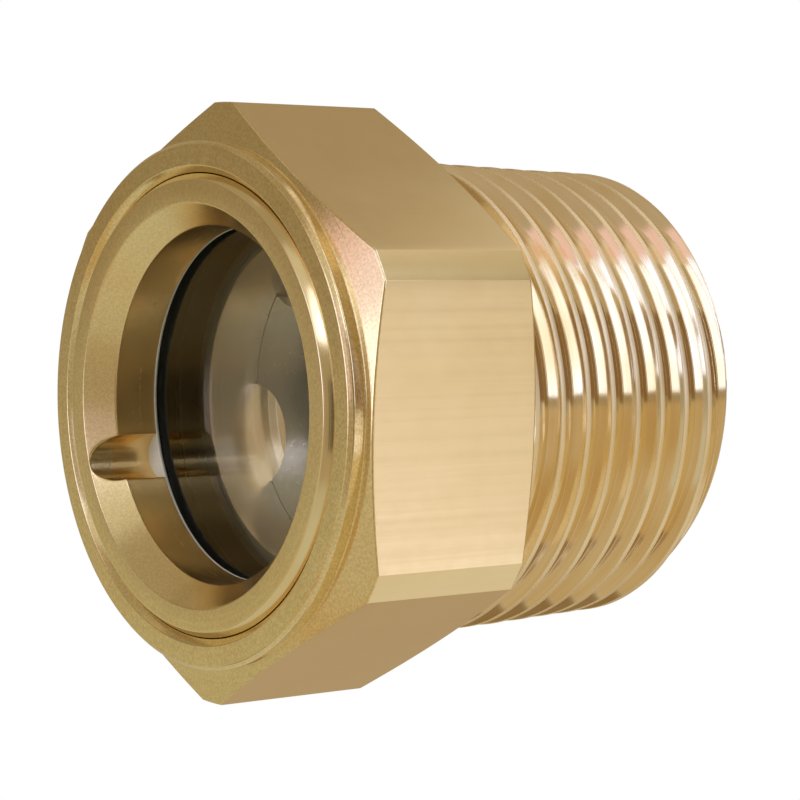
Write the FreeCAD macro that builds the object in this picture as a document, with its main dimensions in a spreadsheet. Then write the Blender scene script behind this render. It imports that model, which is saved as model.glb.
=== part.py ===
import FreeCAD, Part

import os

import Sketcher

# Oil sight glass for a 1 inch taper port. All sizes are millimetres.
# The axis is Y. The window looks to -Y and the taper thread points to +Y.
# The origin is where the axis meets the rear shoulder of the hexagon.
# Z is up, across two corners of the hexagon.

os.makedirs("parts", exist_ok=True)
doc = FreeCAD.newDocument("oil_sight_glass")
sheet = doc.addObject("Spreadsheet::Sheet", "sizes")

SIZES = {
    # Hexagon
    "across_flats": 36,  # width across the flats
    "corner_turn": 0.585,  # how far the sharp corners are turned down
    "hex_front": 13.5,  # from the shoulder to the front of each flat at its middle
    "hex_back": 0.3,  # from the shoulder to the back of each flat at its middle
    "hex_bevel_rise": 0.31,  # axial run of the turned bevels for each millimetre of radius
    "shoulder_step": 0.9,  # from a flat in to the edge of the shoulder
    # Collar in front of the hexagon
    "collar_step": 0.4,  # from a flat in to the outside of the collar
    "collar_height": 1.4,  # from the front of a flat to the face of the collar
    "collar_wall": 2.1,  # wall of the collar around the ring thread
    "collar_bevel": 0.3,  # outer bevel of the collar
    "mouth_bevel": 0.45,  # bevel at the mouth of the ring thread
    # Stem of the taper thread, 11 turns to the inch, at the size of its crests
    "thread_end": 19.2,  # from the shoulder to the end of the thread
    "thread_end_radius": 16.1,  # crest radius at the end of the thread
    "thread_taper": 0.03125,  # growth of the radius for each millimetre towards the hexagon
    "end_bevel": 0.6,  # bevel at the end of the thread
    # Bores of the body
    "pocket_step": 0.5,  # from the ring thread in to the pocket for washer, glass and gasket
    "thread_run": 0.8,  # length of ring thread left free behind the ring
    "seat_width": 3.6,  # width of the seat under the gasket, from the pocket to the chamber
    "ledge_depth": 1.5,  # from the shoulder to the ledge under the reflector, inside the thread
    "ledge_width": 1,  # width of the ledge, from the chamber to the oil port
    "port_bevel": 0.5,  # bevel at the end of the oil port
    # Retaining ring
    "ring_standout": 0.17,  # how far the ring stands out of the collar
    "ring_length": 4.97,  # axial length of the ring
    "ring_wall": 3.45,  # from the outside of the ring to its bore
    "ring_cone_run": 1.5,  # radial width of the cone at the mouth of the bore
    "ring_cone_depth": 1.77,  # axial depth of the cone
    "ring_bevel_run": 0.45,  # radial width of the outer bevel
    "ring_bevel_rise": 0.6,  # axial height of the outer bevel
    "slot_radius": 1.6,  # radius of each spanner slot
    "slot_inset": 0.1,  # from the bore in to the middle of each slot
    "slot_angle": 22.5,  # turn of the two slots from the horizontal, in degrees
    # Glazing
    "washer_thick": 0.5,  # thickness of the washer in front of the glass
    "glass_thick": 4,  # thickness of the glass
    "glass_bevel": 0.3,  # bevel around the glass
    "gasket_thick": 2,  # thickness of the gasket behind the glass
    "gasket_width": 2.2,  # radial width of the gasket
    # Reflector
    "reflector_thick": 1,  # thickness of the reflector
    "notch_radius": 3.7,  # radius of each oil notch in the rim
    "notch_outset": 0.5,  # from the chamber wall out to the middle of each notch
    "notch_count": 5,  # number of oil notches
    "notch_angle": 197,  # angle of the first notch from +X, in degrees
    # Fits
    "thread_play": 0.05,  # radial play between the ring and the body
    "pocket_play": 0.1,  # radial play of the pieces in the pocket
    "press_play": 0.02,  # radial play of the reflector before it is staked
}
for row, (alias, size) in enumerate(SIZES.items(), start=1):
    sheet.set(f"A{row}", str(size))
    sheet.set(f"B{row}", alias.replace("_", " "))
    sheet.setAlias(f"A{row}", alias)
doc.recompute()

# Radii from the hexagon in to the oil port
half_flats = "sizes.across_flats / 2"
corner = f"({half_flats} / cos(30) - sizes.corner_turn)"
shoulder = f"({half_flats} - sizes.shoulder_step)"
collar = f"({half_flats} - sizes.collar_step)"
ring_thread = f"({collar} - sizes.collar_wall)"
pocket = f"({ring_thread} - sizes.pocket_step)"
chamber = f"({pocket} - sizes.seat_width)"
port = f"({chamber} - sizes.ledge_width)"
ring_outside = f"({ring_thread} - sizes.thread_play)"
ring_bore = f"({ring_outside} - sizes.ring_wall)"
glazing = f"({pocket} - sizes.pocket_play)"

# Places along the axis, from the face of the collar down the stack to the seat
collar_face = "(-sizes.hex_front - sizes.collar_height)"
ring_face = f"({collar_face} - sizes.ring_standout)"
ring_back = f"({ring_face} + sizes.ring_length)"
glass_front = f"({ring_back} + sizes.washer_thick)"
glass_back = f"({glass_front} + sizes.glass_thick)"
seat = f"({glass_back} + sizes.gasket_thick)"
ring_thread_back = f"({ring_back} + sizes.thread_run)"


def plane(body, role):
    """Origin plane of a body, found by its role."""
    for feature in body.Origin.OriginFeatures:
        if feature.Role == role:
            return feature
    raise RuntimeError(f"{body.Name} has no {role}")


def sketch_on(body, name, role):
    """Empty sketch on one of the body's own origin planes."""
    sketch = body.newObject("Sketcher::SketchObject", name)
    sketch.AttachmentSupport = (plane(body, role), [""])
    sketch.MapMode = "FlatFace"
    return sketch


def bind(sketch, kind, geo, pos, expression, name):
    """Distance of one point from the sketch origin, driven by the sheet."""
    start = sketch.Geometry[geo]
    point = start.Center if pos == 3 else start.StartPoint
    now = point.x if kind == "DistanceX" else point.y
    index = sketch.addConstraint(Sketcher.Constraint(kind, -1, 1, geo, pos, now))
    sketch.renameConstraint(index, name)
    sketch.setExpression(f"Constraints.{name}", expression)


def number(expression):
    """Present value of an expression of the sheet."""
    return float(sheet.evalExpression(expression))


def outline(body, name, role, corners):
    """Closed outline of straight lines. Each corner is a pair of expressions of the sheet."""
    sketch = sketch_on(body, name, role)
    spots = [FreeCAD.Vector(number(a), number(b), 0) for a, b in corners]
    count = len(spots)
    for i in range(count):
        sketch.addGeometry(Part.LineSegment(spots[i], spots[(i + 1) % count]), False)
    for i in range(count):
        sketch.addConstraint(Sketcher.Constraint("Coincident", i, 2, (i + 1) % count, 1))
    for i, (a, b) in enumerate(corners):
        bind(sketch, "DistanceX", i, 1, a, f"across_{i}")
        bind(sketch, "DistanceY", i, 1, b, f"along_{i}")
    return sketch


def round_section(body, name, circle, angle, radius):
    """Sketch across the axis with one circle, placed by its distance from the axis and its angle from +X."""
    across = f"{circle} * cos({angle})"
    up = f"{circle} * sin({angle})"
    sketch = sketch_on(body, name, "XZ_Plane")
    middle = FreeCAD.Vector(number(across), number(up), 0)
    sketch.addGeometry(Part.Circle(middle, FreeCAD.Vector(0, 0, 1), number(radius)), False)
    bind(sketch, "DistanceX", 0, 3, across, "across")
    bind(sketch, "DistanceY", 0, 3, up, "up")
    width = sketch.addConstraint(Sketcher.Constraint("Radius", 0, number(radius)))
    sketch.renameConstraint(width, "radius")
    sketch.setExpression("Constraints.radius", radius)
    return sketch


def turned(body, name, corners):
    """Solid of revolution about Y from corners given as radius and distance along the axis."""
    sketch = outline(body, name + "_outline", "XY_Plane", corners)
    turn = body.newObject("PartDesign::Revolution", name)
    turn.Profile = sketch
    turn.ReferenceAxis = (sketch, ["V_Axis"])
    turn.Angle = 360
    doc.recompute()
    return turn


def repeated(body, name, feature, count):
    """Copies of a feature around the body's Y axis."""
    pattern = body.newObject("PartDesign::PolarPattern", name)
    pattern.Originals = [feature]
    pattern.Axis = (plane(body, "Y_Axis"), [""])
    pattern.Angle = 360
    pattern.setExpression("Occurrences", count)
    body.Tip = pattern
    doc.recompute()
    return pattern


def through_cut(body, name, sketch, side="Symmetric"):
    """Cut of a sketch right through the body, in both directions or from the sketch towards the window."""
    before = body.Tip.Shape.Volume
    cut = body.newObject("PartDesign::Pocket", name)
    cut.Profile = sketch
    cut.Type = "ThroughAll"
    cut.SideType = side
    cut.Reversed = side == "One side"
    doc.recompute()
    if not cut.Shape.Volume < before:
        raise RuntimeError(f"{name} took nothing away")
    return cut


# Body: hexagon, collar, stem and bores in one piece
body = doc.addObject("PartDesign::Body", "body")
turned(body, "turned_blank", [
    (f"{ring_thread} + sizes.mouth_bevel", collar_face),
    (f"{collar} - sizes.collar_bevel", collar_face),
    (collar, f"{collar_face} + sizes.collar_bevel"),
    (collar, f"-sizes.hex_front - ({half_flats} - {collar}) * sizes.hex_bevel_rise"),
    (corner, f"-sizes.hex_front + ({corner} - {half_flats}) * sizes.hex_bevel_rise"),
    (corner, f"-sizes.hex_back - ({corner} - {half_flats}) * sizes.hex_bevel_rise"),
    (shoulder, "0"),
    ("sizes.thread_end_radius + sizes.thread_taper * sizes.thread_end", "0"),
    ("sizes.thread_end_radius + sizes.thread_taper * sizes.end_bevel", "sizes.thread_end - sizes.end_bevel"),
    ("sizes.thread_end_radius - sizes.end_bevel", "sizes.thread_end"),
    (f"{port} + sizes.port_bevel", "sizes.thread_end"),
    (port, "sizes.thread_end - sizes.port_bevel"),
    (port, "sizes.ledge_depth"),
    (chamber, "sizes.ledge_depth"),
    (chamber, seat),
    (pocket, seat),
    (pocket, ring_thread_back),
    (ring_thread, ring_thread_back),
    (ring_thread, f"{collar_face} + sizes.mouth_bevel"),
])
beyond_flat = outline(body, "beyond_flat", "XZ_Plane", [
    (half_flats, f"-{corner}"),
    (corner, f"-{corner}"),
    (corner, corner),
    (half_flats, corner),
])
flat = through_cut(body, "flat", beyond_flat, "One side")
repeated(body, "flats", flat, "6")

# Retaining ring with two half-round spanner slots
ring = doc.addObject("PartDesign::Body", "retaining_ring")
turned(ring, "ring_blank", [
    (ring_bore, ring_back),
    (ring_bore, f"{ring_face} + sizes.ring_cone_depth"),
    (f"{ring_bore} + sizes.ring_cone_run", ring_face),
    (f"{ring_outside} - sizes.ring_bevel_run", ring_face),
    (ring_outside, f"{ring_face} + sizes.ring_bevel_rise"),
    (ring_outside, ring_back),
])
slot_circle = f"({ring_bore} - sizes.slot_inset)"
slot_spot = ("slot_section", slot_circle, "sizes.slot_angle", "sizes.slot_radius")
slot = through_cut(ring, "slot", round_section(ring, *slot_spot))
repeated(ring, "slots", slot, "2")

# White washer in front of the glass
washer = doc.addObject("PartDesign::Body", "washer")
turned(washer, "washer_disc", [
    (ring_bore, ring_back),
    (glazing, ring_back),
    (glazing, glass_front),
    (ring_bore, glass_front),
])

# Glass
glass = doc.addObject("PartDesign::Body", "sight_glass")
turned(glass, "glass_disc", [
    ("0", glass_front),
    (f"{glazing} - sizes.glass_bevel", glass_front),
    (glazing, f"{glass_front} + sizes.glass_bevel"),
    (glazing, f"{glass_back} - sizes.glass_bevel"),
    (f"{glazing} - sizes.glass_bevel", glass_back),
    ("0", glass_back),
])

# Gasket behind the glass
gasket = doc.addObject("PartDesign::Body", "gasket")
gasket_bore = f"({glazing} - sizes.gasket_width)"
turned(gasket, "gasket_disc", [
    (gasket_bore, glass_back),
    (glazing, glass_back),
    (glazing, seat),
    (gasket_bore, seat),
])

# Reflector with oil notches in its rim
reflector = doc.addObject("PartDesign::Body", "reflector")
reflector_front = "sizes.ledge_depth - sizes.reflector_thick"
reflector_rim = f"{chamber} - sizes.press_play"
turned(reflector, "reflector_disc", [
    ("0", reflector_front),
    (reflector_rim, reflector_front),
    (reflector_rim, "sizes.ledge_depth"),
    ("0", "sizes.ledge_depth"),
])
notch_circle = f"({chamber} + sizes.notch_outset)"
notch_spot = ("notch_section", notch_circle, "sizes.notch_angle", "sizes.notch_radius")
notch = through_cut(reflector, "notch", round_section(reflector, *notch_spot))
repeated(reflector, "notches", notch, "sizes.notch_count")

doc.recompute()
for item in doc.Objects:
    if "Invalid" in item.State or "Error" in item.State:
        raise RuntimeError(f"{item.Name} is {item.State}")
for piece in (body, ring, washer, glass, gasket, reflector):
    if piece.Shape.isNull() or not piece.Shape.isValid():
        raise RuntimeError(f"{piece.Label} has no valid shape")
    piece.Shape.exportStep(f"parts/{piece.Label}.step")
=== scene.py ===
import math

import bmesh
import bpy
import numpy as np
from mathutils import Matrix, Vector


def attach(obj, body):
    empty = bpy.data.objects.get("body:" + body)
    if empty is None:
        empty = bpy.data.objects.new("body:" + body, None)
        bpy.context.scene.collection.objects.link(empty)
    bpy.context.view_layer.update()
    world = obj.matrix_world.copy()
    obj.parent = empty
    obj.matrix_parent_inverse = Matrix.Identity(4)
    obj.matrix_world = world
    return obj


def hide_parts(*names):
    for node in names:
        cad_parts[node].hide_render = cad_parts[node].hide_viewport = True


# Looks of the oil sight glass. Lengths are millimetres until a mesh is made, and angles are degrees.
# The axis is Y, with the shoulder behind the hexagon at y = 0. The window looks to -Y, and +Z is up,
# through two corners of the hexagon. Angles around the axis start at +X and turn towards +Z.

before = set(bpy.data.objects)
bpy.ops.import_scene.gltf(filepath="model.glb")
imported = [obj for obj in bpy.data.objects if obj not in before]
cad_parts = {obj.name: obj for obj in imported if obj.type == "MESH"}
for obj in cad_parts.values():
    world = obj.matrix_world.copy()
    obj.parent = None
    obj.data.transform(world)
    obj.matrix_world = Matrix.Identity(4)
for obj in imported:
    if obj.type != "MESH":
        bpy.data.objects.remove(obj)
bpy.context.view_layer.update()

MM = 0.001

# Hexagon and collar: radii, and places in front of the shoulder without their minus sign
SECTOR = 60.0
FLAT = 18.0
CORNER = 20.19
HEX_FRONT = 13.5
HEX_BACK = 0.3
BEVEL_RISE = 0.31
SHOULDER = 17.1
COLLAR = 17.6
COLLAR_FOOT = 17.5
COLLAR_FACE = 14.9
COLLAR_BEVEL = 0.3
MOUTH_BEVEL = 0.45

# Angle from the middle of a flat at which columns gather, just past the start of the turned corner
CREASE_ANGLE = 26.99
CREASE_SPREAD = 0.04

# Taper thread, behind the shoulder. The radius grows by TAPER, which is half of 1 in 16.
# FIRST_GROOVE is the place of a groove's middle at the angle 0.
THREAD_END = 19.2
END_RADIUS = 16.1
TAPER = 0.03125
PITCH = 2.309
FIRST_GROOVE = 2.265
GROOVE_DEPTH = 0.86
CREST_HALF = 0.2
FLANK = math.radians(27.5)
GROOVE_FOOT = CREST_HALF + GROOVE_DEPTH * math.tan(FLANK)
END_BEVEL = 0.22
RUNOUT_FROM = 1.11
RUNOUT_TO = -0.04
THREAD_TURNS = range(-2, 10)

# Small departures of the thread: the crests waver in height, and crest and root turn in a soft curve
CREST_PLAY = 0.012
CREST_WAVER = 0.012
CREST_WAVER_FINE = 0.008
CREST_WAVER_DEPTH = 0.2
GROOVE_ROUNDING = 0.0008

# Places of rows beside an edge of the crest or root, and how far past its edge the crest's finish goes
EDGE_PLACES = (-0.024, -0.012, 0.0, 0.012, 0.026)
CREST_MARGIN = 0.02

# Bores of the body: SEAT and RING_THREAD_BACK lie in front of the shoulder, LEDGE behind it
RING_THREAD = 15.5
RING_THREAD_BACK = 9.3
POCKET = 15.0
SEAT = 3.6
CHAMBER = 11.4
LEDGE = 1.5
PORT = 10.4
PORT_BEVEL = 0.5

# Retaining ring
RING_RADIUS = 15.45
RING_FACE = 15.07
RING_BACK = 10.1
RING_BORE = 12.0
CONE_FRONT = 13.5
CONE_DEPTH = 1.77
RING_BEVEL_RUN = 0.45
RING_BEVEL_RISE = 0.6
SLOT_RADIUS = 1.6
SLOT_CIRCLE = 11.9
SLOT_ANGLE = 22.5
SLOT_JOIN_ROUNDING = 0.0025
SLOT_JOIN_REACH = 0.3

# Washer, window and gasket, which share the radius of the glazing
GLAZING = 14.9
WASHER_BACK = 9.6
WASHER_LIP = 0.14
WASHER_BEVEL = 0.45
GLASS_BACK = 5.6
GLASS_BEVEL = 0.3
GASKET_BORE = 12.7

# Reflector, whose front lies behind the shoulder
REFLECTOR = 11.38
REFLECTOR_FRONT = 0.5
NOTCH_RADIUS = 3.7
NOTCH_CIRCLE = 11.9
NOTCH_ANGLE = 197.0
NOTCHES = 5

# Edge breaks
SOFT_EDGE = 0.12
COLLAR_EDGE = 0.08
RING_EDGE = 0.07
RIM_EDGE = 0.06
FINE_EDGE = 0.05
THIN_EDGE = 0.03
INNER_EDGE = 0.02
SHARE_OF_SIDE = 0.45

# Narrow faces beside an edge, which keep its rounded shading from spreading over the face behind
WIDE_SUPPORT = 0.16
SUPPORT = 0.1
NARROW_SUPPORT = 0.05

# Rows along an outline and columns around the axis
EDGE_ROWS = 5
END_BEVEL_ROWS = 6
BORE_ROWS = 6
BORE_ROWS_START = 0.3
CONE_ROWS = 24
WIDE_STEP = 1.5
CLOSE_STEP = 1.0
COLUMN_GAP = 0.12
SLOT_COLUMNS = 41
NOTCH_COLUMNS = 61
CUT_REACH = 96
NEAR_WALL, FAR_WALL = -1, 1

# Finishes by their place in a piece's list, and the rows of faces that have them: FLAT_ROW counts from
# the collar's mouth, PORT_ROWS and SEAT_ROWS from the stem's end face, RING_EDGE_ROWS from the ring's face
TURNED_FINISH, FLAT_FINISH, FLANK_HIGHLIGHT_FINISH, CREST_LIT_FINISH, ROOT_SHADE_FINISH, PORT_LIT_FINISH, SEAT_SHADE_FINISH = range(7)
FACE_FINISH, BORE_LIT_FINISH, EDGE_HIGHLIGHT_FINISH = range(3)
FLAT_ROW = 26
PORT_ROWS = (6, 21)
SEAT_ROWS = (21, 26)
RING_EDGE_ROWS = 9

# Shortest side that has a direction
TINY = 1e-9

# Making a mesh: points this close merge and edges this short go, both in metres, and then the weight
# that large faces have in the smooth normals
MERGE_DISTANCE = 4e-7
SLIVER = 1e-7
NORMAL_WEIGHT = 60


def unit(vectors):
    """Vectors divided by their length, row by row."""
    return vectors / np.maximum(np.linalg.norm(vectors, axis=-1, keepdims=True), TINY)


def row_at(radius, y, columns):
    """Row of (radius, distance along the axis). Each is one value, or one for each column."""
    both = [np.broadcast_to(np.asarray(item, float), columns) for item in (radius, y)]
    return np.stack(both, -1)


def start_of_side(side, edge):
    """Step along a side that is as long as the edge break, or a share of the side if that is shorter."""
    length = np.linalg.norm(side, axis=-1, keepdims=True)
    return unit(side) * np.minimum(edge, SHARE_OF_SIDE * length)


def outline_rows(corners, columns, closed=True):
    """Rows of (radius, distance along the axis), one value for each column around the axis.
    A corner c with the edge break s becomes the curve (1-t)^2 a + 2t(1-t) c + t^2 b,
    where a and b lie s away from c along its two sides, or nearer on a short side.
    The first and last corner of an open outline only give the direction there, and have no row."""
    points = [row_at(radius, y, columns) for radius, y, _ in corners]
    last = len(corners) - 1
    rows = []
    for k, (_, _, edge) in enumerate(corners):
        middle = points[k]
        if not closed and k in (0, last):
            continue
        if edge == 0:
            rows.append(middle)
            continue
        a = middle + start_of_side(points[k - 1] - middle, edge)
        b = middle + start_of_side(points[(k + 1) % len(points)] - middle, edge)
        for t in np.linspace(0, 1, EDGE_ROWS):
            rows.append((1 - t) ** 2 * a + 2 * t * (1 - t) * middle + t * t * b)
    return rows


def swept_mesh(name, rows, angles, finish_of_row=None):
    """Surface of points (r cos a, y, r sin a), with r and y from the rows and a from the angles.
    The rows close on themselves and the last angle meets the first. Faces point outwards.
    Points that coincide are merged, and edges that are left without a face are deleted."""
    turn = np.radians(angles)
    grid = np.stack(rows)
    count, columns = grid.shape[0], grid.shape[1]
    x = grid[..., 0] * np.cos(turn)
    z = grid[..., 0] * np.sin(turn)
    points = np.stack([x, grid[..., 1], z], -1).reshape(-1, 3) * MM
    i, j = np.meshgrid(np.arange(count), np.arange(columns - 1), indexing="ij")
    here = i * columns + j
    below = ((i + 1) % count) * columns + j
    quads = np.stack([here, here + 1, below + 1, below], -1).reshape(-1, 4)
    finish = np.zeros(len(quads), np.int32)
    if finish_of_row is not None:
        finish = np.repeat(np.asarray(finish_of_row, np.int32), columns - 1)
    corners = points[quads]
    across = np.cross(corners[:, 2] - corners[:, 0], corners[:, 3] - corners[:, 1])
    if np.sum(across * corners.mean(1)) < 0:
        quads = quads[:, ::-1]
    mesh = bpy.data.meshes.new(name)
    mesh.vertices.add(len(points))
    mesh.vertices.foreach_set("co", points.astype(np.float32).ravel())
    mesh.loops.add(quads.size)
    mesh.loops.foreach_set("vertex_index", quads.astype(np.int32).ravel())
    mesh.polygons.add(len(quads))
    mesh.polygons.foreach_set("loop_start", np.arange(0, quads.size, 4, dtype=np.int32))
    mesh.polygons.foreach_set("material_index", finish)
    mesh.update(calc_edges=True)
    merged = bmesh.new()
    merged.from_mesh(mesh)
    bmesh.ops.remove_doubles(merged, verts=merged.verts, dist=MERGE_DISTANCE)
    bmesh.ops.dissolve_degenerate(merged, edges=merged.edges, dist=SLIVER)
    loose = [edge for edge in merged.edges if not edge.link_faces]
    bmesh.ops.delete(merged, geom=loose, context="EDGES")
    merged.to_mesh(mesh)
    merged.free()
    mesh.polygons.foreach_set("use_smooth", np.ones(len(mesh.polygons), bool))
    mesh.update()
    return mesh


def piece(name, mesh, node, finishes):
    """Object for one CAD node, with its finishes, riding on the only body."""
    for finish in finishes:
        mesh.materials.append(finish)
    made = bpy.data.objects.new(name, mesh)
    bpy.context.scene.collection.objects.link(made)
    normals = made.modifiers.new("even_faces", "WEIGHTED_NORMAL")
    normals.mode = "FACE_AREA"
    normals.weight = NORMAL_WEIGHT
    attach(made, "root")
    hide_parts(node)
    return made


def columns_with(extra, step):
    """Angles from 0 to 360: one every step, with the extra ones in place of those too close to them."""
    even = np.arange(0.0, 360.0 + step / 2, step)
    extra = np.mod(np.asarray(extra, float), 360.0)
    if extra.size:
        to_extra = np.abs(even[:, None] - extra[None, :])
        even = even[np.min(to_extra, axis=1) > COLUMN_GAP]
    return np.unique(np.concatenate([[0.0, 360.0], even, extra]))


def hexagon_radius(angles):
    """Distance from the axis to the hexagon: flat / cos(angle to the middle of the nearest flat),
    turned down to the corner radius."""
    off = np.radians(np.mod(angles + SECTOR / 2, SECTOR) - SECTOR / 2)
    return np.minimum(CORNER, FLAT / np.cos(off))


def groove_drop(u):
    """Depth of the thread below its crest at the distance u from the middle of the crest:
    0 on the crest, then (u - crest half) / tan(flank), and the groove depth at the root.
    Each turn is rounded, with (s + sqrt(s^2 + e)) / 2 in place of the larger of s and 0."""
    slope = (np.abs(u) - CREST_HALF) / math.tan(FLANK)
    rounded_crest = 0.5 * (slope + np.sqrt(slope ** 2 + GROOVE_ROUNDING))
    gap = GROOVE_DEPTH - rounded_crest
    return GROOVE_DEPTH - 0.5 * (gap + np.sqrt(gap ** 2 + GROOVE_ROUNDING))


def thread_radius(angles, y):
    """Radius of the threaded stem: the crest cone less the groove, which fades where the tool lifts out.
    The crest's height wavers by two sines, of 7 and 17 waves round the stem, that drift along it.
    The bevel at the stem's end cuts off what stands above it."""
    turns = (y - FIRST_GROOVE) / PITCH + angles / 360.0
    nearest = np.round(turns)
    from_root = (turns - nearest) * PITCH
    root_at = y - from_root
    lift = GROOVE_DEPTH * (1 - np.clip((root_at - RUNOUT_TO) / (RUNOUT_FROM - RUNOUT_TO), 0, 1))
    crest = END_RADIUS + TAPER * (THREAD_END - y)
    drop = np.maximum(groove_drop(PITCH / 2 - np.abs(from_root)) - lift, 0)
    slow = CREST_WAVER * np.sin(np.radians(7 * angles) + 2.1 * y)
    fast = CREST_WAVER_FINE * np.sin(np.radians(17 * angles) - 3.7 * y)
    waver = (slow + fast) * (drop < CREST_WAVER_DEPTH)
    bevel = END_RADIUS + THREAD_END - END_BEVEL - y
    return np.minimum(crest - drop + waver - CREST_PLAY, bevel)


def head_rows(angles):
    """Rows of the collar, the hexagon with its turned bevels, and the shoulder. The front bevel at the
    radius r lies at y = (r - flat) * rise - front, and the collar's foot is on the same cone.
    The hexagon's back edge lies at y = (flat - r) * rise - back, with a straight bevel to the shoulder."""
    hexagon = hexagon_radius(angles)
    front = -(HEX_FRONT - (hexagon - FLAT) * BEVEL_RISE)
    back = -(HEX_BACK + (hexagon - FLAT) * BEVEL_RISE)
    foot = -(HEX_FRONT + (FLAT - COLLAR_FOOT) * BEVEL_RISE)
    return outline_rows([
        (RING_THREAD, -(COLLAR_FACE - MOUTH_BEVEL), 0),
        (RING_THREAD + MOUTH_BEVEL, -COLLAR_FACE, FINE_EDGE),
        (COLLAR - COLLAR_BEVEL, -COLLAR_FACE, COLLAR_EDGE),
        (COLLAR, -(COLLAR_FACE - COLLAR_BEVEL), COLLAR_EDGE),
        (COLLAR_FOOT, foot, SOFT_EDGE),
        (COLLAR_FOOT + WIDE_SUPPORT, foot + WIDE_SUPPORT * BEVEL_RISE, 0),
        (hexagon - WIDE_SUPPORT, front - WIDE_SUPPORT * BEVEL_RISE, 0),
        (hexagon, front, SOFT_EDGE),
        (hexagon, back, SOFT_EDGE),
        (hexagon - WIDE_SUPPORT, back * (1 - WIDE_SUPPORT / (hexagon - SHOULDER)), 0),
        (SHOULDER + SUPPORT, back * SUPPORT / (hexagon - SHOULDER), 0),
        (SHOULDER, 0.0, FINE_EDGE),
        (END_RADIUS, 0.0, 0),
    ], len(angles), closed=False)


def thread_stations():
    """Distances from the middle of one crest to the next at which the thread has a row. They crowd
    where crest and root turn into the flank, and mirror each other about the groove's middle."""
    edge = np.array(EDGE_PLACES)
    half = np.concatenate([
        [0.0],
        CREST_HALF + edge,
        [CREST_HALF + NARROW_SUPPORT, GROOVE_FOOT - NARROW_SUPPORT],
        GROOVE_FOOT + edge,
        [GROOVE_FOOT + NARROW_SUPPORT],
    ])
    return np.concatenate([half, [PITCH / 2], PITCH - half[:0:-1]])


def thread_rows(angles):
    """Helical rows of the thread, and their finishes. A row at the angle a lies at
    y = first groove + pitch / 2 + turn * pitch + station - pitch * a / 360,
    kept between the shoulder and the bevel at the end."""
    stations = thread_stations()
    rows = []
    for turn in THREAD_TURNS:
        for station in stations:
            y = FIRST_GROOVE + PITCH / 2 + turn * PITCH + station - PITCH * angles / 360.0
            y = np.clip(y, 0.0, THREAD_END - END_BEVEL)
            rows.append(row_at(thread_radius(angles, y), y, len(angles)))
    middles = (stations + np.append(stations[1:], PITCH)) / 2
    from_crest = np.minimum(middles, PITCH - middles)
    below_crest = np.where(from_crest > GROOVE_FOOT, ROOT_SHADE_FINISH, FLANK_HIGHLIGHT_FINISH)
    finish = np.where(from_crest < CREST_HALF + CREST_MARGIN, CREST_LIT_FINISH, below_crest)
    return rows, np.tile(finish, len(THREAD_TURNS))


def end_rows(angles):
    """Rows of the bevel at the stem's end, and the outer edge of its end face."""
    places = np.linspace(THREAD_END - END_BEVEL, THREAD_END, END_BEVEL_ROWS + 1)[1:]
    rows = [row_at(thread_radius(angles, y), y, len(angles)) for y in places]
    face_edge = np.minimum(rows[-1][:, 0], END_RADIUS - END_BEVEL) - NARROW_SUPPORT
    return rows + [row_at(face_edge, THREAD_END, len(angles))]


def bore_rows(columns):
    """Rows from the stem's end face through the oil port, ledge, chamber, seat and pocket to the mouth."""
    return outline_rows([
        (END_RADIUS - END_BEVEL, THREAD_END, 0),
        (PORT + PORT_BEVEL + SUPPORT, THREAD_END, 0),
        (PORT + PORT_BEVEL, THREAD_END, FINE_EDGE),
        (PORT, THREAD_END - PORT_BEVEL, FINE_EDGE),
        (PORT, LEDGE, FINE_EDGE),
        (CHAMBER, LEDGE, INNER_EDGE),
        (CHAMBER, -SEAT, FINE_EDGE),
        (POCKET, -SEAT, INNER_EDGE),
        (POCKET, -RING_THREAD_BACK, FINE_EDGE),
        (RING_THREAD, -RING_THREAD_BACK, INNER_EDGE),
        (RING_THREAD, -(COLLAR_FACE - MOUTH_BEVEL), FINE_EDGE),
        (RING_THREAD + MOUTH_BEVEL, -COLLAR_FACE, 0),
    ], columns, closed=False)


def body_mesh():
    """Closed loop of rows: the head from the collar's mouth to the shoulder, the thread, the stem's end,
    and the bores back to the mouth."""
    creases = [
        SECTOR * k + side * CREASE_ANGLE + nudge
        for k in range(6)
        for side in (-1, 1)
        for nudge in (-CREASE_SPREAD, 0.0, CREASE_SPREAD)
    ]
    angles = columns_with(creases, WIDE_STEP)
    head = head_rows(angles)
    thread, thread_finish = thread_rows(angles)
    end = end_rows(angles)
    rows = head + thread + end + bore_rows(len(angles))
    finish = np.full(len(rows), TURNED_FINISH)
    finish[FLAT_ROW] = FLAT_FINISH
    thread_stop = len(head) + len(thread)
    finish[len(head):thread_stop] = thread_finish
    finish[thread_stop - 1:thread_stop - 1 + END_BEVEL_ROWS] = FLANK_HIGHLIGHT_FINISH
    first_bore = thread_stop + len(end)
    finish[first_bore + PORT_ROWS[0]:first_bore + PORT_ROWS[1]] = PORT_LIT_FINISH
    finish[first_bore + SEAT_ROWS[0]:first_bore + SEAT_ROWS[1]] = SEAT_SHADE_FINISH
    return swept_mesh("brass_body", rows, angles, finish)


def cut_angles(centre, circle, radius, side, count):
    """Angles from the axis at which a round cut of that radius, centred on that circle, is met.
    The side is the wall of the cut near the axis, or the far one."""
    around = np.radians(np.linspace(-CUT_REACH, CUT_REACH, count))
    return centre + np.degrees(np.arctan2(radius * np.sin(around), circle + side * radius * np.cos(around)))


def cut_radius(angles, centre, circle, radius, side):
    """Distance from the axis to the wall of a round cut: c cos(a) +- sqrt(R^2 - c^2 sin^2(a)),
    or NaN beside it. The minus gives the near wall and the plus the far one."""
    off = np.radians(np.mod(angles - centre + 180.0, 360.0) - 180.0)
    under = radius ** 2 - (circle * np.sin(off)) ** 2
    met = (under >= 0) & (np.cos(off) > 0)
    return np.where(met, circle * np.cos(off) + side * np.sqrt(np.maximum(under, 0)), np.nan)


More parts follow.
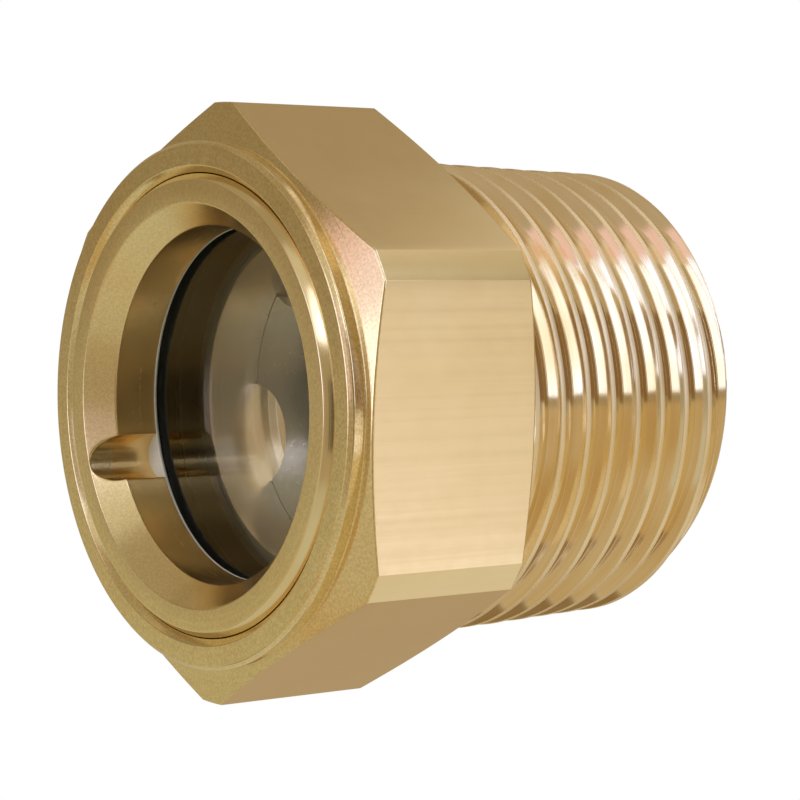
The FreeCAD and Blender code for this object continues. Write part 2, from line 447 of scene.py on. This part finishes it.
def with_slot(row, angles, slot):
    """Row of the ring, stepped out to the wall of a spanner slot. Its radius is the larger of its own r
    and the wall's w, rounded where they meet: (r + w + sqrt((r - w)^2 + e)) / 2."""
    own = row[:, 0]
    wall = cut_radius(angles, slot, SLOT_CIRCLE, SLOT_RADIUS, FAR_WALL)
    apart = own - wall
    rounded = 0.5 * (own + wall + np.sqrt(apart ** 2 + SLOT_JOIN_ROUNDING))
    beside = np.isnan(wall) | (apart > SLOT_JOIN_REACH)
    return row_at(np.where(beside, own, rounded), row[:, 1], len(angles))


def ring_mesh():
    """Closed loop of rows round the ring's section: face, bevel, outside, back, bore and cone.
    The rows from the back of the bore on step out where a spanner slot is met."""
    slots = (SLOT_ANGLE, SLOT_ANGLE + 180.0)
    cuts = [cut_angles(slot, SLOT_CIRCLE, SLOT_RADIUS, FAR_WALL, SLOT_COLUMNS) for slot in slots]
    angles = columns_with(np.concatenate(cuts), CLOSE_STEP)
    n = len(angles)
    cone_back = -(RING_FACE - CONE_DEPTH)
    outside = outline_rows([
        (CONE_FRONT, -RING_FACE, 0),
        (RING_RADIUS - RING_BEVEL_RUN, -RING_FACE, RING_EDGE),
        (RING_RADIUS, -(RING_FACE - RING_BEVEL_RISE), RING_EDGE),
        (RING_RADIUS, -RING_BACK, FINE_EDGE),
        (RING_BORE, -RING_BACK, FINE_EDGE),
        (RING_BORE, cone_back, 0),
    ], n, closed=False)
    bore_places = np.linspace(-RING_BACK - BORE_ROWS_START, cone_back + SUPPORT, BORE_ROWS)
    bore = [row_at(RING_BORE, y, n) for y in bore_places]
    bends = outline_rows([
        (RING_BORE, -RING_BACK, 0),
        (RING_BORE, cone_back, COLLAR_EDGE),
        (CONE_FRONT, -RING_FACE, RIM_EDGE),
        (RING_RADIUS, -RING_FACE, 0),
    ], n, closed=False)
    cone_start = bends[EDGE_ROWS - 1]
    cone_run = bends[EDGE_ROWS] - cone_start
    cone = [cone_start + cone_run * t for t in np.linspace(0, 1, CONE_ROWS + 2)[1:-1]]
    rows = outside + bore + bends[:EDGE_ROWS] + cone + bends[EDGE_ROWS:]
    for k in range(len(outside) - EDGE_ROWS, len(rows)):
        for slot in slots:
            rows[k] = with_slot(rows[k], angles, slot)
    finish = np.full(len(rows), FACE_FINISH)
    finish[:RING_EDGE_ROWS] = EDGE_HIGHLIGHT_FINISH
    finish[len(outside) - 1:len(outside) + len(bore)] = BORE_LIT_FINISH
    return swept_mesh("brass_ring", rows, angles, finish)


def reflector_mesh():
    """Disc whose rim steps in to the wall of each oil notch. The middle of each face is one point."""
    centres = [NOTCH_ANGLE + 360.0 * k / NOTCHES for k in range(NOTCHES)]
    cuts = [cut_angles(centre, NOTCH_CIRCLE, NOTCH_RADIUS, NEAR_WALL, NOTCH_COLUMNS) for centre in centres]
    angles = columns_with(np.concatenate(cuts), CLOSE_STEP)
    rim = np.full(len(angles), REFLECTOR)
    for centre in centres:
        wall = cut_radius(angles, centre, NOTCH_CIRCLE, NOTCH_RADIUS, NEAR_WALL)
        rim = np.where(np.isnan(wall), rim, np.minimum(rim, wall))
    rows = outline_rows([
        (0.0, REFLECTOR_FRONT, 0),
        (rim - SUPPORT, REFLECTOR_FRONT, 0),
        (rim, REFLECTOR_FRONT, RIM_EDGE),
        (rim, LEDGE, THIN_EDGE),
        (0.0, LEDGE, 0),
    ], len(angles))
    return swept_mesh("reflector_disc", rows, angles)


def turned_mesh(name, corners):
    """Plain turned piece from its closed outline."""
    angles = columns_with([], WIDE_STEP)
    return swept_mesh(name, outline_rows(corners, len(angles)), angles)


def washer_mesh():
    """Flat ring whose inner wall is a low lip at the front, with a bevel behind it."""
    return turned_mesh("white_washer", [
        (RING_BORE, -RING_BACK, INNER_EDGE),
        (GLAZING, -RING_BACK, THIN_EDGE),
        (GLAZING, -WASHER_BACK, THIN_EDGE),
        (RING_BORE + WASHER_BEVEL, -WASHER_BACK, THIN_EDGE),
        (RING_BORE, -RING_BACK + WASHER_LIP, THIN_EDGE),
    ])


def window_mesh():
    """Glass disc with a ground bevel at both edges."""
    bevel_start = GLAZING - GLASS_BEVEL
    return turned_mesh("window_disc", [
        (0.0, -WASHER_BACK, 0),
        (bevel_start - NARROW_SUPPORT, -WASHER_BACK, 0),
        (bevel_start, -WASHER_BACK, 0),
        (GLAZING, -(WASHER_BACK - GLASS_BEVEL), 0),
        (GLAZING, -(GLASS_BACK + GLASS_BEVEL), 0),
        (bevel_start, -GLASS_BACK, 0),
        (bevel_start - NARROW_SUPPORT, -GLASS_BACK, 0),
        (0.0, -GLASS_BACK, 0),
    ])


def gasket_mesh():
    """Flat ring between the glass and its seat."""
    return turned_mesh("black_gasket", [
        (GASKET_BORE, -GLASS_BACK, FINE_EDGE),
        (GLAZING, -GLASS_BACK, FINE_EDGE),
        (GLAZING, -SEAT, FINE_EDGE),
        (GASKET_BORE, -SEAT, FINE_EDGE),
    ])


# Places of the colour sockets on a Mix node
MIX_SHARE, MIX_FIRST, MIX_SECOND, MIX_RESULT = 0, 6, 7, 2


class Nodes:
    """Short ways to add and join shader nodes."""

    def __init__(self, tree):
        self.tree = tree
        tree.nodes.clear()

    def add(self, kind, **settings):
        node = self.tree.nodes.new(kind)
        for key, setting in settings.items():
            setattr(node, key, setting)
        return node

    def join(self, source, target):
        self.tree.links.new(source, target)

    def feed(self, item, socket):
        """Give a socket its number or colour, or join another node's output to it."""
        if isinstance(item, (int, float, tuple)):
            socket.default_value = item
        else:
            self.join(item, socket)

    def split(self, vector):
        """The x, y and z of a vector."""
        node = self.add("ShaderNodeSeparateXYZ")
        self.join(vector, node.inputs[0])
        return node.outputs

    def vector(self, x, y, z):
        """Vector from its x, y and z."""
        node = self.add("ShaderNodeCombineXYZ")
        for socket, item in zip(node.inputs, (x, y, z)):
            self.feed(item, socket)
        return node.outputs[0]

    def math(self, operation, a, b=None, c=None):
        node = self.add("ShaderNodeMath", operation=operation)
        for socket, item in zip(node.inputs, (a, b, c)):
            if item is not None:
                self.feed(item, socket)
        return node.outputs[0]

    def noise(self, vector, scale, detail=3.0, roughness=0.5):
        node = self.add("ShaderNodeTexNoise", noise_dimensions="3D")
        self.join(vector, node.inputs["Vector"])
        return self.tuned(node, scale, detail, roughness)

    def noise_along(self, number, scale, detail, roughness):
        """Noise of one number in place of a vector."""
        node = self.add("ShaderNodeTexNoise", noise_dimensions="1D")
        self.join(number, node.inputs["W"])
        return self.tuned(node, scale, detail, roughness)

    def tuned(self, node, scale, detail, roughness):
        for key, item in (("Scale", scale), ("Detail", detail), ("Roughness", roughness)):
            node.inputs[key].default_value = item
        return node.outputs[0]

    def ramp(self, source, low, high, to_low=0.0, to_high=1.0):
        """Smooth step of the source between low and high, from one value to the other."""
        node = self.add("ShaderNodeMapRange", interpolation_type="SMOOTHSTEP")
        self.join(source, node.inputs["Value"])
        for key, item in (("From Min", low), ("From Max", high), ("To Min", to_low), ("To Max", to_high)):
            node.inputs[key].default_value = item
        return node.outputs[0]

    def mix_colour(self, share, a, b, kind="MIX"):
        node = self.add("ShaderNodeMix", data_type="RGBA", blend_type=kind)
        for place, item in ((MIX_SHARE, share), (MIX_FIRST, a), (MIX_SECOND, b)):
            self.feed(item, node.inputs[place])
        return node.outputs[MIX_RESULT]

    def bump(self, height, depth, normal=None):
        """Normal tilted by a height of that depth in millimetres, on top of another normal."""
        node = self.add("ShaderNodeBump")
        self.join(height, node.inputs["Height"])
        node.inputs["Strength"].default_value = 1.0
        node.inputs["Distance"].default_value = depth * MM
        if normal is not None:
            self.join(normal, node.inputs["Normal"])
        return node.outputs[0]


def shaded(name):
    """New material with a Principled shader on its surface: the material, its nodes and the shader."""
    material = bpy.data.materials.new(name)
    material.use_nodes = True
    n = Nodes(material.node_tree)
    out = n.add("ShaderNodeOutputMaterial")
    shader = n.add("ShaderNodeBsdfPrincipled")
    n.join(shader.outputs[0], out.inputs["Surface"])
    return material, n, shader


# Colours of the brass, of its stain and of the breaks in its turning marks. The copies of the brass after
# them are painted light and shade: paler on the thread's flanks and crests, the oil port and the ring's
# bevel, warmer in the ring's bore, darker in the thread's roots and on the seat
BRASS = (0.90, 0.76, 0.48, 1.0)
BRASS_DEEP = (0.80, 0.60, 0.30, 1.0)
BRASS_PINK = (0.92, 0.70, 0.50, 1.0)
# Pale brass on the thread's flanks and the stem's end bevel: painted highlight, so their reflections come out
# near white
FLANK_BRASS_PAINTED_HIGHLIGHT = (0.95, 0.87, 0.74, 1.0)
# Paler brass on the thread's crests: painted light along the crest lines
CREST_BRASS_PAINTED_LIGHT = (1.0, 0.87, 0.64, 1.0)
# Darker brass in the thread's roots: painted shade in the grooves
ROOT_BRASS_PAINTED_SHADE = (0.80, 0.64, 0.42, 1.0)
# Near-white brass on the oil port, ledge and chamber walls: painted light inside the body
PORT_BRASS_PAINTED_LIGHT = (0.99, 0.95, 0.88, 1.0)
# Near-black brass on the seat step behind the gasket: painted shade
SEAT_BRASS_PAINTED_SHADE = (0.19, 0.18, 0.14, 1.0)
# Warmer, redder brass in the ring's bore: painted warm reflected light
BORE_BRASS_PAINTED_LIGHT = (0.97, 0.72, 0.34, 1.0)
# Paler brass on the ring's outer bevel and its rounded edges: painted highlight
EDGE_BRASS_PAINTED_HIGHLIGHT = (0.93, 0.80, 0.54, 1.0)

# Scales of the marks on brass, per metre
FINE_MARKS = 9000.0
BROAD_MARKS = 1500.0
MARK_BREAKS = 1400.0
DRAWN_LINES = 5200.0
GRAIN = 5200.0
SPECKLE = 5600.0
SPOTS = 900.0
CLOUDS = 130.0
HOLLOWS = 60.0

# How the marks lie: shares that make one number of a place, metres of arc for each radian,
# and how much the lines of drawn bar are stretched along it
ACROSS_SHARE = 0.61
RADIUS_SHARE = 1.37
ARC_LENGTH = 0.0045
ACROSS_MARKS = 3.0
DRAWN_STRETCH = 0.02

# Depth of the grain in millimetres, plain and for each share of sand
GRAIN_DEPTH = 0.0004
SAND_DEPTH = 0.008


def turning_tangent(n, from_axis):
    """Unit vector along the turning marks: the axis crossed with the place seen from it."""
    turn = n.add("ShaderNodeVectorMath", operation="CROSS_PRODUCT")
    turn.inputs[0].default_value = (0.0, 1.0, 0.0)
    n.join(from_axis, turn.inputs[1])
    even = n.add("ShaderNodeVectorMath", operation="NORMALIZE")
    n.join(turn.outputs[0], even.inputs[0])
    return even.outputs[0]


def brass(name, roughness, ring_depth=0.0, drawn_depth=0.0, streaks=0.3, stretch=0.0, stain=0.15, bow=0.0,
          sand=0.0, metal=BRASS):
    """Machined brass. The turning marks depend on radius and distance along the axis only. Depths are in
    millimetres: ring_depth of the turning marks, drawn_depth of the lines along drawn bar, and bow of the
    slow hollows in its flats. streaks, stain and sand are the shares of broad marks, of clouds and spots,
    and of a fine speckle. stretch is how far reflections are drawn out by the marks."""
    material, n, shader = shaded(name)
    shader.inputs["Metallic"].default_value = 1.0
    shader.inputs["Anisotropic"].default_value = stretch
    place = n.add("ShaderNodeTexCoord").outputs["Object"]
    x, y, z = n.split(place)
    from_axis = n.vector(x, 0.0, z)
    length = n.add("ShaderNodeVectorMath", operation="LENGTH")
    n.join(from_axis, length.inputs[0])
    radius = length.outputs["Value"]
    around = n.math("ARCTAN2", z, x)
    # one number for each turned ring, or for each line of drawn bar
    if drawn_depth:
        mark_place = n.math("MULTIPLY_ADD", x, ACROSS_SHARE, z)
    else:
        mark_place = n.math("MULTIPLY_ADD", radius, RADIUS_SHARE, y)
    fine_marks = n.noise_along(mark_place, FINE_MARKS, 2.0, 0.6)
    broad_marks = n.noise_along(mark_place, BROAD_MARKS, 3.0, 0.5)
    # breaks in the marks around the turn
    along_turn = n.math("MULTIPLY", around, ARC_LENGTH)
    across_turn = n.math("MULTIPLY", mark_place, ACROSS_MARKS)
    breaks = n.noise(n.vector(along_turn, across_turn, 0.0), MARK_BREAKS, 3.0, 0.6)
    break_share = 0.08 if drawn_depth else 0.25
    spots = n.noise(place, SPOTS, 4.0, 0.6)
    cloud = n.noise(place, CLOUDS, 2.0, 0.5)
    tone = n.mix_colour(n.ramp(cloud, 0.35, 0.7, 0.0, stain * 2.2), metal, BRASS_DEEP)
    tone = n.mix_colour(n.ramp(broad_marks, 0.35, 0.75, 0.0, streaks), tone, BRASS_DEEP)
    tone = n.mix_colour(n.ramp(spots, 0.62, 0.8, 0.0, stain * 0.5), tone, BRASS_DEEP)
    tone = n.mix_colour(n.ramp(breaks, 0.6, 0.8, 0.0, break_share), tone, BRASS_PINK)
    if sand:
        speckle = n.noise(place, SPECKLE, 3.0, 0.6)
        tone = n.mix_colour(1.0, tone, n.ramp(speckle, 0.3, 0.7, 1 - sand, 1 + sand), "MULTIPLY")
    n.join(tone, shader.inputs["Base Color"])
    dull_spots = n.ramp(spots, 0.3, 0.75, roughness * 0.95, roughness * 1.06)
    dull_marks = n.ramp(broad_marks, 0.3, 0.8, -0.1 * roughness, 0.1 * roughness)
    n.join(n.math("ADD", dull_spots, dull_marks), shader.inputs["Roughness"])
    normal = None
    if ring_depth:
        normal = n.bump(fine_marks, ring_depth)
        normal = n.bump(broad_marks, ring_depth * 2.5, normal)
    if drawn_depth:
        lines = n.add("ShaderNodeMapping", vector_type="POINT")
        n.join(place, lines.inputs["Vector"])
        lines.inputs["Scale"].default_value = (1.0, DRAWN_STRETCH, 1.0)
        normal = n.bump(n.noise(lines.outputs[0], DRAWN_LINES, 3.0, 0.6), drawn_depth, normal)
    if bow:
        normal = n.bump(n.noise(place, HOLLOWS, 0.0), bow, normal)
    normal = n.bump(n.noise(place, GRAIN, 2.0, 0.5), GRAIN_DEPTH + SAND_DEPTH * sand, normal)
    n.join(normal, shader.inputs["Normal"])
    if stretch:
        n.join(turning_tangent(n, from_axis), shader.inputs["Tangent"])
        shader.inputs["Anisotropic Rotation"].default_value = 0.25
    return material


def plain_finish(name, colour, roughness, grain_scale, grain_depth, metallic=0.0, mottle=0.08, shine=0.5):
    """Even finish with a fine grain: the fibre of the gasket, the skin of the washer or the rolled
    reflector. The clouds of its mottle are 14 times as wide as the grain."""
    material, n, shader = shaded(name)
    shader.inputs["Metallic"].default_value = metallic
    shader.inputs["Specular IOR Level"].default_value = shine
    place = n.add("ShaderNodeTexCoord").outputs["Object"]
    grain = n.noise(place, grain_scale, 4.0, 0.6)
    cloud = n.noise(place, grain_scale / 14, 3.0, 0.5)
    darker = tuple(c * (1 - 2.5 * mottle) for c in colour[:3]) + (1.0,)
    n.join(n.mix_colour(n.ramp(cloud, 0.3, 0.7), colour, darker), shader.inputs["Base Color"])
    n.join(n.ramp(grain, 0.3, 0.7, roughness * 0.85, roughness * 1.15), shader.inputs["Roughness"])
    n.join(n.bump(grain, grain_depth), shader.inputs["Normal"])
    return material


def window_glass():
    """Clear soda glass with a faint film of handling marks in its roughness."""
    material, n, shader = shaded("window_glass")
    shader.inputs["Base Color"].default_value = (0.95, 0.97, 0.96, 1.0)
    shader.inputs["Transmission Weight"].default_value = 1.0
    shader.inputs["IOR"].default_value = 1.5
    place = n.add("ShaderNodeTexCoord").outputs["Object"]
    film = n.noise(place, 260.0, 4.0, 0.6)
    n.join(n.ramp(film, 0.5, 0.8, 0.0, 0.03), shader.inputs["Roughness"])
    return material


# White that the camera sees behind the part and on the floor
WHITE = (1.0, 1.0, 1.0, 1.0)

# Light of the room where nothing else is, low and high
ROOM_LOW = (0.58, 0.54, 0.38, 1.0)
ROOM_HIGH = (0.38, 0.31, 0.18, 1.0)

# Parts of the room that the brass mirrors: azimuth from -Y towards +X, height above the horizon, blur, light,
# and how far the part leans to larger azimuths with the square of its height
ROOM = [
    ("ceiling_high", (50, 180), (60, 90), 8, (0.80, 0.70, 0.54), 0),
    ("ceiling_far", (-180, -60), (68, 90), 6, (0.62, 0.52, 0.38), 0),
    ("ceiling_top", (-180, 180), (78, 90), 4, (0.56, 0.45, 0.30), 0),
    ("floor_behind", (90, 180), (-90, -66), 6, (0.38, 0.28, 0.17), 0),
    ("floor_behind_left", (-180, -100), (-90, -66), 6, (0.38, 0.28, 0.17), 0),
    ("wall_right_high", (6, 38), (36, 62), 6, (0.66, 0.60, 0.44), 0),
    ("wall_left_low", (-80, -36), (-45, -11), 8, (0.50, 0.44, 0.26), 0),
    ("floor_left_front", (-68, -42), (-49, -44), 3, (0.27, 0.17, 0.07), 0),
    ("wall_left", (-80, -28), (0, 40), 6, (0.31, 0.24, 0.13), 0),
    ("wall_left_high", (-60, -10), (35, 44), 3, (0.48, 0.37, 0.22), 0),
    ("table_front", (-36, 10), (-45, -12), 8, (0.56, 0.49, 0.32), 0),
    ("table_front_near", (-38, 14), (-52, -28), 4, (0.53, 0.39, 0.19), 0),
    ("window_edge", (-28, -22), (-3, 22), 3, (1.0, 0.72, 0.78), 0),
    ("window_front_top", (-13, -4), (28, 40), 3, (0.88, 0.60, 0.50), 0),
    ("window_front", (-22, 2), (-3, 22), 3, (1.15, 1.08, 1.32), 0),
    ("window_front_low", (-23, -13), (-6, 6), 2, (1.75, 1.65, 1.9), 0),
    ("window_front_mid", (-9, 2), (-3, 22), 3, (1.9, 1.8, 2.0), 0),
    ("window_front_right", (-3, 16), (3, 32), 2, (1.2, 1.25, 1.45), 0),
    ("wall_camera", (36, 60), (-24, 4), 8, (0.43, 0.34, 0.2), 0),
    ("camera_shade", (54, 64), (-14, 12), 3, (0.05, 0.045, 0.035), 0),
    ("window_collar", (32, 38), (4, 33), 1.5, (1.0, 0.82, 0.98), -0.007),
    ("window_right", (40, 62), (30, 48), 5, (1.8, 1.75, 1.85), 0),
    ("window_right_core", (46, 56), (30, 38), 1.5, (2.6, 2.5, 2.6), 0),
    ("table_right_side", (86, 104), (-66, -3), 3, (0.68, 0.57, 0.33), 0),
    ("table_right", (107, 134), (-66, -3), 3, (0.57, 0.44, 0.24), 0),
    ("table_back_low", (134, 148), (-34, -14), 3, (0.64, 0.50, 0.26), 0),
    ("table_back_near", (134, 148), (-13, -5), 2, (0.58, 0.44, 0.20), 0),
    ("table_back_right", (122, 133), (-13, -8), 2, (1.28, 1.20, 1.28), 0),
    ("wall_back_right", (122, 133), (-5, -1), 3, (0.90, 0.80, 0.70), 0),
    ("wall_right_side", (86, 105), (42, 64), 3, (0.58, 0.52, 0.38), 0),
    ("wall_right_dark", (86, 105), (1, 38), 3, (0.29, 0.20, 0.10), 0),
    ("wall_back_dark", (126, 150), (2, 33), 2, (0.27, 0.17, 0.09), 0),
    ("wall_back_up", (132, 165), (38, 44), 3, (0.56, 0.47, 0.31), 0),
    ("table_back", (136, 176), (-72, -34), 8, (0.75, 0.68, 0.56), 0),
    ("table_left", (-170, -118), (-62, -18), 10, (0.47, 0.36, 0.23), 0),
    ("ceiling_left", (-147.5, -110), (22, 74), 5, (0.38, 0.29, 0.18), 0),
    ("ceiling_back", (-180, -154), (20, 60), 6, (0.80, 0.70, 0.56), 0),
    ("ceiling_back_dim", (-171, -160), (50, 58), 3, (0.50, 0.41, 0.30), 0),
    ("ceiling_behind", (150, 180), (46, 60), 4, (0.86, 0.70, 0.56), 0),
    ("floor_left", (-180, -152), (-66, -44), 5, (0.46, 0.36, 0.22), 0),
    ("window_back", (109.5, 123), (4, 63), 1.5, (1.5, 1.65, 2.1), 0),
    ("window_back_slope", (115, 128), (12, 63), 2, (1.5, 1.65, 2.1), 0.004),
    ("window_back_top", (110, 135), (66, 70), 2.5, (0.92, 0.58, 0.46), 0.004),
]


def share_of_room(n, azimuth, elevation, span, height, blur):
    """Share of a part of the room: 1 inside its azimuths and heights, falling to 0 over the blur."""
    parts = [
        n.ramp(azimuth, span[0] - blur, span[0]),
        n.ramp(azimuth, span[1], span[1] + blur, 1.0, 0.0),
        n.ramp(elevation, height[0] - blur, height[0]),
        n.ramp(elevation, height[1], height[1] + blur, 1.0, 0.0),
    ]
    share = parts[0]
    for part in parts[1:]:
        share = n.math("MULTIPLY", share, part)
    return share


def studio():
    """World light: a warm dim room with windows and a pale table. The camera sees plain white."""
    world = bpy.data.worlds.new("studio")
    bpy.context.scene.world = world
    world.use_nodes = True
    n = Nodes(world.node_tree)
    out = n.add("ShaderNodeOutputWorld")
    x, y, z = n.split(n.add("ShaderNodeTexCoord").outputs["Generated"])
    azimuth = n.math("DEGREES", n.math("ARCTAN2", x, n.math("MULTIPLY", y, -1.0)))
    elevation = n.math("DEGREES", n.math("ARCSINE", z))
    light = n.mix_colour(n.ramp(elevation, -55.0, 10.0), ROOM_LOW, ROOM_HIGH)
    height_squared = n.math("POWER", n.math("MAXIMUM", elevation, 0.0), 2.0)
    for _, span, height, blur, colour, lean in ROOM:
        upright = n.math("MULTIPLY_ADD", height_squared, -lean, azimuth) if lean else azimuth
        share = share_of_room(n, upright, elevation, span, height, blur)
        light = n.mix_colour(share, light, colour + (1.0,))
    lit = n.add("ShaderNodeBackground")
    n.join(light, lit.inputs["Color"])
    white = n.add("ShaderNodeBackground")
    white.inputs["Color"].default_value = WHITE
    mixed = n.add("ShaderNodeMixShader")
    n.join(n.add("ShaderNodeLightPath").outputs["Is Camera Ray"], mixed.inputs[0])
    n.join(lit.outputs[0], mixed.inputs[1])
    n.join(white.outputs[0], mixed.inputs[2])
    n.join(mixed.outputs[0], out.inputs["Surface"])


# Floor, in metres
FLOOR_HALF = 3.0
FLOOR_LEVEL = -0.09


def white_floor():
    """Pale floor well below the part, bright enough to meet the white behind it."""
    corners = [
        (across * FLOOR_HALF, along * FLOOR_HALF, FLOOR_LEVEL)
        for across, along in ((-1, -1), (1, -1), (1, 1), (-1, 1))
    ]
    mesh = bpy.data.meshes.new("floor")
    mesh.from_pydata(corners, [], [(0, 1, 2, 3)])
    material = bpy.data.materials.new("floor_white")
    material.use_nodes = True
    n = Nodes(material.node_tree)
    out = n.add("ShaderNodeOutputMaterial")
    glow = n.add("ShaderNodeEmission")
    glow.inputs["Color"].default_value = WHITE
    glow.inputs["Strength"].default_value = 1.0
    n.join(glow.outputs[0], out.inputs["Surface"])
    mesh.materials.append(material)
    floor = bpy.data.objects.new("floor", mesh)
    bpy.context.scene.collection.objects.link(floor)
    floor.visible_glossy = False
    floor.visible_diffuse = False
    floor.visible_transmission = False


# Camera at the photograph's angle
CAMERA_AZIMUTH = math.radians(51.896)
CAMERA_ELEVATION = math.radians(4.754)
CAMERA_ROLL = math.radians(1.444)
CAMERA_PLACE = (148.009, -113.390, 15.500)
CAMERA_LENS = 120.56
SENSOR_WIDTH = 36.0


def camera():
    """Camera with its right, up and back axes from azimuth, elevation and roll."""
    level = math.cos(CAMERA_ELEVATION)
    back = Vector((
        math.sin(CAMERA_AZIMUTH) * level,
        -math.cos(CAMERA_AZIMUTH) * level,
        math.sin(CAMERA_ELEVATION),
    ))
    level_right = Vector((math.cos(CAMERA_AZIMUTH), math.sin(CAMERA_AZIMUTH), 0.0))
    level_up = back.cross(level_right)
    right = math.cos(CAMERA_ROLL) * level_right + math.sin(CAMERA_ROLL) * level_up
    up = math.cos(CAMERA_ROLL) * level_up - math.sin(CAMERA_ROLL) * level_right
    data = bpy.data.cameras.new("camera")
    data.lens = CAMERA_LENS
    data.sensor_width = SENSOR_WIDTH
    data.clip_start = 0.01
    data.clip_end = 20.0
    made = bpy.data.objects.new("camera", data)
    bpy.context.scene.collection.objects.link(made)
    turned = Matrix((right, up, back)).transposed().to_4x4()
    made.matrix_world = Matrix.Translation(Vector(CAMERA_PLACE) * MM) @ turned
    bpy.context.scene.camera = made


# Finishes, each list in the order of the finish numbers above
body_finishes = [
    brass("turned_brass", 0.16, ring_depth=0.0012, streaks=0.25, stretch=0.35, sand=0.11),
    brass("hexagon_brass", 0.2, drawn_depth=0.0012, streaks=0.0, stain=0.1, bow=0.15),
    # the flanks' pale brass is a painted highlight
    brass("flank_brass_painted_highlight", 0.08, ring_depth=0.0008, streaks=0.25, stretch=0.2, stain=0.2, metal=FLANK_BRASS_PAINTED_HIGHLIGHT),
    # the crests' paler brass is painted light
    brass("crest_brass_painted_light", 0.45, ring_depth=0.002, streaks=0.0, stain=0.05, metal=CREST_BRASS_PAINTED_LIGHT),
    # the roots' darker brass is painted shade in the grooves
    brass("root_brass_painted_shade", 0.08, ring_depth=0.0006, streaks=0.2, stain=0.3, metal=ROOT_BRASS_PAINTED_SHADE),
    # the port's near-white brass is painted light
    brass("port_brass_painted_light", 0.22, ring_depth=0.001, streaks=0.1, metal=PORT_BRASS_PAINTED_LIGHT),
    # the seat's near-black brass is painted shade
    brass("seat_brass_painted_shade", 0.4, ring_depth=0.001, streaks=0.2, metal=SEAT_BRASS_PAINTED_SHADE),
]
ring_finishes = [
    brass("ring_brass", 0.25, ring_depth=0.0014, streaks=0.25, stretch=0.35, sand=0.08),
    # the bore's warmer brass is painted reflected light
    brass("bore_brass_painted_light", 0.25, ring_depth=0.0014, streaks=0.25, stretch=0.35, metal=BORE_BRASS_PAINTED_LIGHT),
    # the ring bevel's paler brass is a painted highlight
    brass("edge_brass_painted_highlight", 0.15, ring_depth=0.0012, streaks=0.35, stretch=0.35, metal=EDGE_BRASS_PAINTED_HIGHLIGHT),
]
washer_white = plain_finish("washer_white", (0.92, 0.98, 1.0, 1.0), 0.45, 2600.0, 0.004)
gasket_black = plain_finish("gasket_black", (0.006, 0.007, 0.007, 1.0), 0.6, 3200.0, 0.006, shine=0.12)
reflector_grey = plain_finish("reflector_grey", (0.52, 0.50, 0.50, 1.0), 0.32, 2400.0, 0.002,
                              metallic=1.0, mottle=0.05)

# The body and the five pieces that it holds, from the window's side in
piece("brass_body", body_mesh(), "body", body_finishes)
piece("brass_ring", ring_mesh(), "retaining_ring", ring_finishes)
piece("white_washer", washer_mesh(), "washer", [washer_white])
piece("window_disc", window_mesh(), "sight_glass", [window_glass()])
piece("black_gasket", gasket_mesh(), "gasket", [gasket_black])
piece("reflector_disc", reflector_mesh(), "reflector", [reflector_grey])

studio()
white_floor()
camera()
bpy.context.scene.view_settings.view_transform = "Standard"
